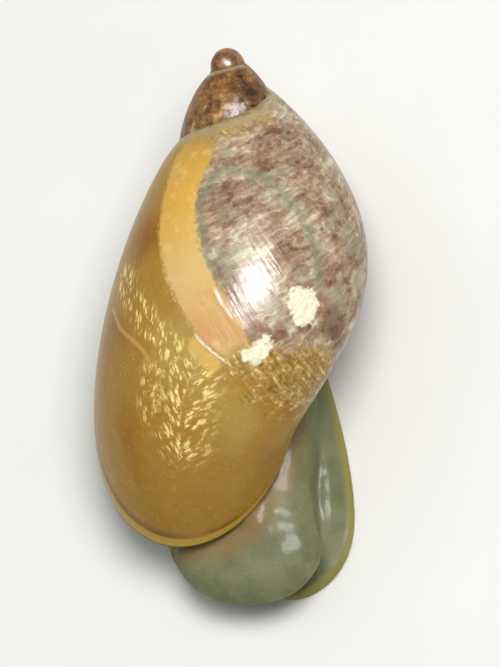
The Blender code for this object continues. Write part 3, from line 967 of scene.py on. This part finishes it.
def build_eyes():
    """Two dark beads, half sunk in the upper feelers' tips."""
    eyes = []
    for side, word in ((1.0, "left"), (-1.0, "right")):
        axis = feeler_axis(UPPER_FEELER, side)
        radius = EYE_RADIUS
        centre = axis.root + axis.along * (axis.length - 0.00002) + axis.up * 0.00003
        eye = loft("eye_" + word, ellipsoid_rows(centre, (radius, radius * 0.8, radius), 32, 20))
        outward(eye)
        eye.data.transform(Matrix.Translation(SHIFT))
        eye.data.shade_smooth()
        eyes.append(eye)
    return eyes


# Materials

def srgb(red, green, blue):
    """Linear colour of a colour given in sRGB from 0 to 255."""
    def linear(value):
        value /= 255.0
        return value / 12.92 if value <= 0.04045 else ((value + 0.055) / 1.055) ** 2.4
    return (linear(red), linear(green), linear(blue), 1.0)


class Look:
    """A node material in the making. Its vectors are in millimetres."""

    def __init__(self, name):
        self.material = bpy.data.materials.new(name)
        self.material.use_nodes = True
        self.tree = self.material.node_tree
        self.shader = self.tree.nodes["Principled BSDF"]
        self.place = self.scaled(self.node("TexCoord", {}, "Object"), 1.0 / MM)

    def put(self, socket, value):
        """Gives an input a node's output, a number or a colour's sRGB values."""
        if isinstance(value, bpy.types.NodeSocket):
            self.tree.links.new(value, socket)
        elif isinstance(value, tuple):
            socket.default_value = srgb(*value)
        else:
            socket.default_value = value

    def node(self, kind, inputs, output=0, **settings):
        """Adds a node with its settings and inputs, and gives one of its outputs."""
        node = self.tree.nodes.new("ShaderNode" + kind)
        for name, value in settings.items():
            setattr(node, name, value)
        for key, value in inputs.items():
            self.put(node.inputs[key], value)
        return node.outputs[output]

    def mark(self, name, *shifts):
        """A number kept on the mesh, shifted up and down by patterns, each with its amount."""
        value = self.node("Attribute", {}, "Fac", attribute_name=name)
        for pattern, amount in shifts:
            value = self.vary(value, pattern, amount)
        return value

    def scaled(self, vector, scale):
        return self.node("VectorMath", {0: vector, "Scale": scale}, operation="SCALE")

    def moved(self, vector, x, y=0.0, z=0.0):
        return self.node("VectorMath", {0: vector, 1: self.combine(x, y, z)}, operation="ADD")

    def combine(self, x, y=0.0, z=0.0):
        return self.node("CombineXYZ", {0: x, 1: y, 2: z})

    def math(self, operation, first, second):
        return self.node("Math", {0: first, 1: second}, operation=operation)

    def add(self, first, second):
        return self.math("ADD", first, second)

    def times(self, first, second):
        return self.math("MULTIPLY", first, second)

    def vary(self, value, pattern, amount):
        """A value shifted up and down by a pattern whose middle is 0.5."""
        return self.add(value, self.times(self.add(pattern, -0.5), amount))

    def weighted(self, *parts):
        """Sum of patterns, each with its weight."""
        total = self.times(*parts[0])
        for pattern, weight in parts[1:]:
            total = self.add(total, self.times(pattern, weight))
        return total

    def step(self, value, low, high, to_low=0.0, to_high=1.0):
        """Smooth step of a value between two limits."""
        limits = {"Value": value, "From Min": low, "From Max": high, "To Min": to_low, "To Max": to_high}
        return self.node("MapRange", limits, "Result", interpolation_type="SMOOTHSTEP")

    def noise(self, vector, scale, detail=2.0, roughness=0.5, distortion=0.0):
        inputs = {"Vector": vector, "Scale": scale, "Detail": detail, "Roughness": roughness}
        return self.node("TexNoise", {**inputs, "Distortion": distortion}, "Fac")

    def cells(self, vector, scale, feature="F1"):
        return self.node("TexVoronoi", {"Vector": vector, "Scale": scale}, "Distance", feature=feature)

    def mix(self, factor, first, second):
        return self.node("Mix", {0: factor, 6: first, 7: second}, 2, data_type="RGBA")

    def paint(self, base, factor, *colour):
        """Mixes an sRGB colour into what is there."""
        return self.mix(factor, base, colour)

    def between(self, value, rise, full, fade, end):
        """Rises smoothly to 1 between two values, and falls again between two more."""
        return self.times(self.step(value, rise, full), self.step(value, end, fade))

    def lay(self, base, *rows):
        """Lays colours over one another: each has its value, two limits, its strength and its sRGB values."""
        for value, low, high, strength, *colour in rows:
            base = self.mix(self.step(value, low, high, 0.0, strength), base, tuple(colour))
        return base

    def ramp(self, value, *stops):
        """Soft steps through colours, each given as its place and its sRGB values."""
        node = self.tree.nodes.new("ShaderNodeValToRGB")
        node.color_ramp.interpolation = "EASE"
        elements = node.color_ramp.elements
        while len(elements) < len(stops):
            elements.new(0.5)
        for element, (position, *colour) in zip(elements, stops):
            element.position = position
            element.color = srgb(*colour)
        self.put(node.inputs["Fac"], value)
        return node.outputs["Color"]

    def bump(self, height):
        """Relief of a height given in millimetres."""
        return self.node("Bump", {"Strength": 1.0, "Distance": MM, "Height": height}, "Normal")

    def finish(self, colour, roughness, normal, **fixed):
        """Joins the patterns to the shader; the named numbers are the same all over."""
        self.put(self.shader.inputs["Base Color"], colour)
        self.put(self.shader.inputs["Roughness"], roughness)
        self.put(self.shader.inputs["Normal"], normal)
        for name, value in fixed.items():
            self.shader.inputs[name.replace("_", " ")].default_value = value
        return self.material


class ShellLook(Look):
    """Thin horny amber with growth lines, over the mottled, banded and flecked mantle that shows through."""

    def __init__(self):
        super().__init__("amber_shell")
        place = self.place
        self.turns = self.mark("turns")
        self.streaked = self.moved(self.scaled(place, 0.55), self.times(self.turns, 150.0))
        self.soft = self.noise(place, 0.5, 2.0)
        self.middling = self.noise(place, 2.2, 4.0, 0.6)
        self.fine = self.noise(place, 7.0, 3.0, 0.6)
        self.streaks = self.noise(self.streaked, 1.0, 3.0, 0.6)
        self.frayed = self.noise(self.streaked, 1.6, 3.0, 0.7)
        self.wisps = self.noise(place, 3.2, 4.0, 0.68, 0.25)
        swirl = self.noise(place, 1.1, 2.0)
        ring = [self.mark(name, (swirl, 1.6)) for name in ("ring_reach", "ring_place")]
        self.feather = self.noise(self.combine(*ring, self.times(self.turns, 6.5)), 3.2, 4.0, 0.62)
        # Silvery patches, partly painted highlights, broken up by the wisps.
        self.silver_and_painted_highlight = self.times(self.mark("silver_and_painted_highlight"), self.step(self.wisps, 0.38, 0.6, 0.4, 1.0))

    def amber(self):
        tone = self.mark("amber_tone", (self.soft, 1.2))
        in_places = self.step(self.noise(self.place, 1.9, 2.0), 0.4, 0.56, 0.0, 0.55)
        return self.lay(
            self.mix(self.step(tone, 0.0, 0.95), (162, 123, 46), (142, 92, 20)),
            (tone, 0.0, -0.75, 1.0, 172, 146, 74),
            (self.streaks, 0.35, 0.7, 0.1, 112, 78, 26),
            (self.middling, 0.5, 0.68, 0.16, 192, 160, 92),
            (self.cells(self.place, 5.8), 0.2, 0.06, in_places, 226, 196, 120),
        )

    def strokes(self, waves, depth, scale):
        """Distance to the nearest of many short strokes, slanting from a stem like a feather's barbs."""
        across = self.vary(self.times(self.mark("fleck_across"), 5.6), waves, 1.0)
        along = self.times(self.mark("fleck_along"), 1.45)
        return self.cells(self.combine(across, along, self.times(depth, 0.8)), scale)

    def flecked(self, amber):
        """Golden flecks and a vessel line over the amber."""
        coarse = self.strokes(self.middling, self.fine, 1.0)
        small = self.strokes(self.fine, self.middling, 1.5)
        strokes = self.vary(self.math("MINIMUM", coarse, small), self.fine, 0.25)
        weight = self.times(self.mark("fleck_weight"), self.step(self.noise(self.place, 1.7, 2.0), 0.33, 0.5))
        weight = self.times(weight, self.step(self.mark("fleck_stem", (self.fine, 0.1)), 0.04, 0.13))
        self.flecks = self.times(self.step(strokes, 0.4, 0.2), weight)
        return self.lay(
            amber,
            (strokes, 0.6, 0.25, self.times(weight, 0.55), 206, 168, 88),
            (strokes, 0.4, 0.2, self.times(weight, 0.95), 250, 226, 148),
            (self.mark("vessel", (self.fine, 0.12)), 0.12, 0.03, 0.6, 206, 168, 92),
        )

    def rimmed(self, amber):
        """The lip: a brown line, a lighter border with a yellow painted highlight, and dark painted shade at
        the edge.
        """
        lip = self.mark("lip_distance", (self.soft, 0.06))
        uneven = self.step(self.noise(self.place, 0.7, 3.0, 0.6), 0.36, 0.62, 0.15, 0.8)
        amber = self.paint(amber, self.times(self.between(lip, 0.44, 0.54, 0.56, 0.95), uneven), 110, 74, 26)
        amber = self.lay(amber, (lip, 0.5, 0.4, 1.0, 182, 146, 62))
        # The yellow streak is a painted highlight along the lip, and the darkest line at its very edge is
        # painted shade on the lip's underside.
        yellow = self.times(self.between(lip, 0.05, 0.09, 0.15, 0.24), 0.65)
        return self.lay(self.paint(amber, yellow, 184, 164, 56), (lip, 0.07, 0.03, 0.8, 78, 62, 26))

    def mottled(self):
        """Brown, mauve and cream wisps along the coil, with green-grey lines, blotches, a golden zone and
        silvery patches that are partly painted highlights.
        """
        tone = self.mark("mottle_tone_and_painted_highlight", (self.noise(self.place, 0.9, 2.0), 0.2))
        patch = self.noise(self.place, 1.2, 3.0, 0.55, 0.4)
        pattern = self.weighted(
            (self.feather, 0.4), (self.fine, 0.08), (patch, 0.3),
            (self.wisps, 0.14), (self.streaks, 0.08), (tone, 0.45),
        )
        colours = (0.41, 112, 82, 62), (0.47, 144, 116, 92), (0.53, 172, 152, 124), (0.60, 208, 198, 172)
        mottled = self.ramp(pattern, *colours)
        hue = self.noise(self.place, 0.95, 3.0)
        mottled = self.lay(
            mottled,
            (hue, 0.5, 0.62, 0.4, 160, 160, 136),
            (hue, 0.48, 0.36, 0.35, 158, 126, 102),
            (self.mark("rust", (self.middling, 2.0)), -0.1, 0.2, 0.45, 122, 78, 54),
        )
        pattern = self.weighted((self.frayed, 0.45), (self.fine, 0.35), (self.middling, 0.2))
        colours = (0.41, 130, 96, 44), (0.47, 154, 120, 60), (0.53, 174, 142, 80), (0.60, 216, 192, 130)
        gold = self.step(self.mark("golden", (self.middling, 0.8)), 0.2, 0.8)
        mottled = self.mix(gold, mottled, self.ramp(pattern, *colours))
        green = self.mark("green", (self.wisps, 0.35))
        mottled = self.lay(mottled, (green, 0.36, 0.0, 0.55, 116, 124, 100))
        cream = self.mix(self.step(self.fine, 0.4, 0.62, 0.0, 0.5), (240, 238, 212), (216, 208, 170))
        blotch = self.mark("blotch", (self.noise(self.place, 4.5, 3.0), 0.5), (self.feather, 0.5))
        mottled = self.mix(self.step(blotch, -0.1, 0.07, 0.0, 0.95), mottled, cream)
        # Silvery patches over the mottle, partly painted highlights.
        return self.lay(mottled, (self.silver_and_painted_highlight, 0.1, 1.0, 0.7, 196, 184, 158))

    def spire(self):
        """Brown flecks, a plainer knob and a silvery haze, partly painted highlights on the second whorl and
        the knob.
        """
        speckle = self.noise(self.place, 9.0, 3.0)
        tone = self.mark("mottle_tone_and_painted_highlight")
        pattern = self.weighted((self.middling, 0.45), (self.wisps, 0.35), (speckle, 0.2), (tone, 0.5))
        colours = (0.38, 62, 42, 30), (0.47, 108, 74, 44), (0.54, 140, 102, 58), (0.63, 184, 152, 98)
        knob = self.mix(self.step(self.middling, 0.4, 0.62), (104, 70, 44), (150, 116, 82))
        spire = self.mix(self.step(self.turns, -1.9, -2.15), self.ramp(pattern, *colours), knob)
        return self.lay(spire, (self.silver_and_painted_highlight, 0.2, 1.1, 0.75, 210, 200, 196))

    def seamed(self, colour):
        """A pale band with a fine dark line where a whorl meets the one before it."""
        suture = self.mark("suture", (self.middling, 0.5), (self.fine, 0.2))
        strength = self.times(self.step(self.turns, -1.7, -1.4, 0.1, 1.0), 0.72)
        rows = (suture, 0.78, 0.3, strength, 164, 150, 110), (suture, 0.12, 0.03, 0.5, 108, 84, 48)
        return self.lay(colour, *rows)

    def banded(self, colour):
        """The orange-yellow band and the pale patch beside its lower end."""
        share = self.mark("band_share")
        colours = (0.0, 176, 142, 68), (0.35, 210, 164, 72), (0.65, 208, 176, 110), (0.85, 200, 160, 98)
        in_places = self.step(self.noise(self.place, 1.3, 3.0), 0.42, 0.6, 0.0, 0.4)
        hue = self.lay(
            self.ramp(share, *colours),
            (self.middling, 0.5, 0.7, 0.3, 230, 206, 148),
            (share, 0.6, 0.85, in_places, 204, 142, 92),
        )
        band = self.step(self.mark("band", (self.frayed, 0.35), (self.fine, 0.4)), -0.1, 0.16)
        colour = self.mix(self.times(band, self.between(share, 0.0, 0.14, 0.93, 1.0)), colour, hue)
        pale = self.mark("pale_patch", (self.middling, 0.3))
        return self.lay(colour, (pale, 0.4, 0.2, 0.8, 212, 176, 98))

    def glinting(self, colour):
        """Painted highlights along the growth ridges: bright lines tapering to their ends."""
        share = self.mark("glint_share")
        taper = self.weighted((share, 0.03), (self.middling, 0.04))
        ends = self.times(self.between(share, 0.0, 0.2, 0.6, 1.0), 0.9)
        return self.lay(colour, (self.add(self.mark("glint"), taper), 0.11, 0.05, ends, 252, 240, 224))

    def made(self):
        amber = self.rimmed(self.flecked(self.amber()))
        mottle = self.mark("mottle", (self.feather, 4.0), (self.noise(self.place, 3.4, 3.0), 1.6))
        colour = self.mix(self.step(mottle, -0.45, 0.5), amber, self.mottled())
        colour = self.mix(self.step(self.turns, -0.98, -1.02), colour, self.spire())
        colour = self.glinting(self.banded(self.seamed(colour)))
        lines = self.noise(self.streaked, 1.9, 2.0)
        normal = self.bump(self.weighted((self.streaks, 0.017), (lines, 0.008), (self.flecks, 0.006)))
        self.put(self.shader.inputs["Coat Normal"], normal)
        return self.finish(
            colour,
            self.add(self.times(self.fine, 0.1), 0.25),
            normal,
            Subsurface_Weight=0.15, Subsurface_Radius=(1.0, 0.5, 0.2), Subsurface_Scale=0.0005,
            Specular_IOR_Level=0.1, Coat_Weight=0.1, Coat_Roughness=0.12, IOR=1.5,
        )


def skin_look():
    """Milky, moist, see-through flesh, orange where the mantle lies under the shell's lip."""
    look = Look("moist_skin")
    cloud = look.noise(look.place, 0.9, 3.0)
    fine = look.noise(look.place, 6.0, 3.0)
    grooves = look.cells(look.moved(look.place, look.times(fine, 0.3)), 4.2, "DISTANCE_TO_EDGE")
    grooves = look.times(look.step(grooves, 0.12, 0.0), look.step(look.mark("above_sole"), 0.3, 0.8))
    flesh = look.lay(
        look.mix(look.step(cloud, 0.38, 0.62), (106, 110, 80), (122, 125, 94)),
        (fine, 0.56, 0.7, 0.2, 142, 146, 118),
        (look.mark("edge", (cloud, 0.2)), 0.34, 0.08, 0.65, 142, 136, 64),
        (look.mark("to_lip", (cloud, 0.6)), 1.2, 0.2, 0.65, 146, 110, 62),
        (look.mark("collar", (fine, 0.3)), 0.2, 0.8, 0.9, 178, 128, 60),
    )
    # Painted shade in the openings of the breathing pore and the mouth's slit.
    flesh = look.paint(flesh, look.times(look.mark("pore"), 0.9), 66, 44, 26)
    flesh = look.paint(flesh, look.times(look.mark("slit"), 0.75), 62, 50, 36)
    flesh = look.paint(flesh, look.times(grooves, 0.07), 84, 84, 62)
    return look.finish(
        flesh,
        look.add(look.times(fine, 0.15), 0.42),
        look.bump(look.weighted((grooves, -0.004), (fine, 0.012))),
        Subsurface_Weight=0.5, Subsurface_Radius=(1.0, 0.8, 0.45), Subsurface_Scale=0.0007,
        Specular_IOR_Level=0.05, Coat_Weight=0.035, Coat_Roughness=0.12, IOR=1.4,
    )


def eye_look():
    look = Look("dark_eye")
    cloud = look.noise(look.place, 12.0, 2.0)
    colour = look.mix(cloud, (14, 10, 9), (38, 28, 24))
    normal = look.bump(look.times(cloud, 0.001))
    return look.finish(colour, 0.18, normal, Coat_Weight=1.0, Coat_Roughness=0.05)


def floor_look():
    look = Look("pale_floor")
    grain = look.noise(look.place, 0.15, 4.0)
    colour = look.mix(grain, (206, 206, 202), (216, 216, 212))
    return look.finish(colour, 0.75, look.bump(look.times(grain, 0.02)))


# The studio

def build_floor():
    size = FLOOR_HALF_WIDTH
    corners = [(-size, -size, 0.0), (size, -size, 0.0), (size, size, 0.0), (-size, size, 0.0)]
    floor = make_object("floor", corners, [(0, 1, 2, 3)])
    floor.data.materials.append(floor_look())


def area_light(name, place, aim, size, power, colour):
    data = bpy.data.lights.new(name, "AREA")
    data.shape = "ELLIPSE"
    data.size = size[0]
    data.size_y = size[1]
    data.energy = power
    data.color = colour
    obj = set_in_scene(name, data)
    back = (place - aim).normalized()
    upright = back.cross(RIGHT).normalized()
    facing = Matrix((upright.cross(back), upright, back)).transposed().to_4x4()
    obj.matrix_world = Matrix.Translation(place) @ facing
    return obj


def build_lights(shell):
    """A key light that the shell mirrors where the photograph's highlight is, in a pale room."""
    world = bpy.data.worlds.new("studio")
    world.use_nodes = True
    inputs = world.node_tree.nodes["Background"].inputs
    inputs["Color"].default_value = ROOM_COLOUR
    inputs["Strength"].default_value = ROOM_STRENGTH
    bpy.context.scene.world = world
    mesh = shell.data
    tree = BVHTree.FromPolygons([v.co for v in mesh.vertices], [face.vertices for face in mesh.polygons])
    ray = pixel_ray(*HIGHLIGHT_PIXEL)
    place, normal = anchor(tree, HIGHLIGHT_PIXEL)
    spot = Vector(place)
    mirrored = ray.reflect(Vector(normal)).normalized()
    lamp = spot + mirrored * KEY_DISTANCE
    area_light("key", lamp, spot, *KEY_LAMP)
    glint = area_light("glint", lamp, spot, *GLINT_LAMP)
    glint.visible_diffuse = False
    side = AIM - RIGHT * 0.16 + UP * 0.08 + TOWARDS * 0.1
    area_light("fill", side, AIM, *FILL_LAMP)


def build_snail():
    shell = build_shell()
    shell.data.materials.append(ShellLook().made())
    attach(shell, "root")
    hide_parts("shell_body_whorl", "shell_spire")
    skin = build_skin()
    skin.data.materials.append(skin_look())
    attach(skin, "root")
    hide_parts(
        "mantle_collar", "foot", "tail", "head", "neck", "torso", "upper_feeler_left",
        "upper_feeler_right", "lower_feeler_left", "lower_feeler_right",
    )
    look = eye_look()
    for eye in build_eyes():
        eye.data.materials.append(look)
        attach(eye, "root")
    return shell


bpy.context.scene.view_settings.view_transform = "Standard"
build_camera()
build_floor()
build_lights(build_snail())
